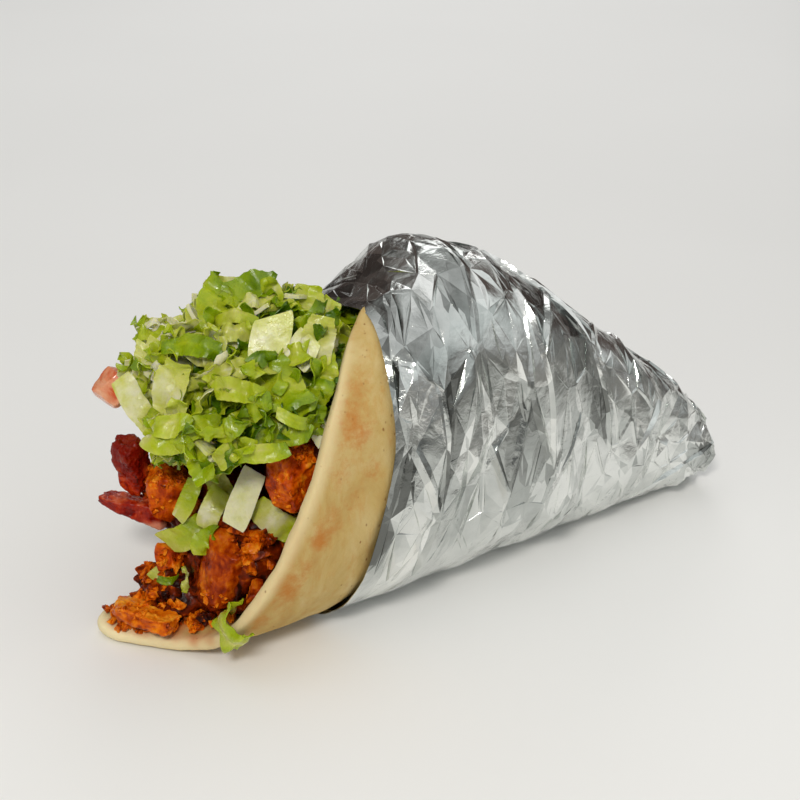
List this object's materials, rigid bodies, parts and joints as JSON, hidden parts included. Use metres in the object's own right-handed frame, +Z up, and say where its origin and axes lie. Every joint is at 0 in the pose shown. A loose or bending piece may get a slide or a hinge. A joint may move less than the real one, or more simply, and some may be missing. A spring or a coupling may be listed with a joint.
{
  "type": "chicken gyro",
  "caption": "Chicken gyro lying on its side: a soft pita rolled round spiced chicken, shredded lettuce and tomato, its lower part wrapped in crumpled kitchen foil.",
  "frame": {"origin": "under the middle of the whole wrap, on the surface it lies on", "axes": "+X from the open mouth towards the folded tail, +Z up, -Y the side with the higher flap of bread"},
  "size_m": [0.2072, 0.0866, 0.104],
  "materials": {
    "foil": "crumpled bright foil",
    "bread": "soft toasted flatbread",
    "sauced_chicken": "wet with sauce",
    "chicken": "moist, browned",
    "lettuce": "fresh and moist",
    "tomato": "wet"
  },
  "bodies": {
    "root": {"foil_wrap": "foil", "pita": "bread", "chicken_bed": "sauced_chicken", "lettuce_heap": "lettuce", "lettuce_scrap": "lettuce", "chicken_charred": "chicken", "chicken_slice": "chicken", "chicken_left": "chicken", "chicken_right": "chicken", "chicken_large": "chicken", "chicken_small": "chicken", "chicken_strip": "chicken", "chicken_edge": "chicken", "tomato_dice": "tomato"}
  },
  "joints": []
}
